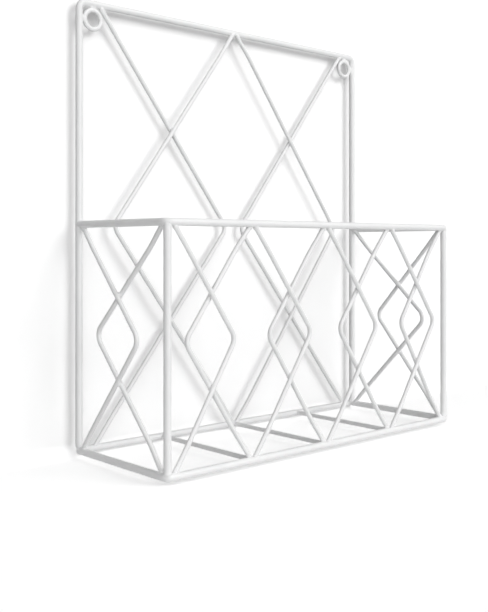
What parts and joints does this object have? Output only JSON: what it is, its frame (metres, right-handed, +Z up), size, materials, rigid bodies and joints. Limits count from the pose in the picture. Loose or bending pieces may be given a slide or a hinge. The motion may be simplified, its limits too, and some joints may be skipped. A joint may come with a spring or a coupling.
{
  "type": "wall magazine rack",
  "caption": "White wire wall rack for magazines: a lattice basket welded to a tall lattice back panel with hanging rings in its upper corners.",
  "frame": {"origin": "middle of the footprint, on the plane that the underside of the lower rim rests on", "axes": "+Z up, +Y towards the wall, +X to the right as seen from the front"},
  "size_m": [0.3498, 0.1278, 0.3818],
  "materials": {
    "white_powder_coat": "satin"
  },
  "bodies": {
    "root": {"back_frame": "white_powder_coat", "back_wire_left_inner": "white_powder_coat", "back_wire_left_outer": "white_powder_coat", "back_wire_right_inner": "white_powder_coat", "back_wire_right_outer": "white_powder_coat", "floor_wire_1": "white_powder_coat", "floor_wire_2": "white_powder_coat", "floor_wire_3": "white_powder_coat", "front_left_post": "white_powder_coat", "front_right_post": "white_powder_coat", "front_wire_1_left": "white_powder_coat", "front_wire_1_right": "white_powder_coat", "front_wire_2_left": "white_powder_coat", "front_wire_2_right": "white_powder_coat", "front_wire_3_left": "white_powder_coat", "front_wire_3_right": "white_powder_coat", "front_wire_4_left": "white_powder_coat", "front_wire_4_right": "white_powder_coat", "hanging_ring_left": "white_powder_coat", "hanging_ring_right": "white_powder_coat", "left_wire_front": "white_powder_coat", "left_wire_rear": "white_powder_coat", "lower_rim": "white_powder_coat", "right_wire_front": "white_powder_coat", "right_wire_rear": "white_powder_coat", "upper_rim": "white_powder_coat"}
  },
  "joints": []
}
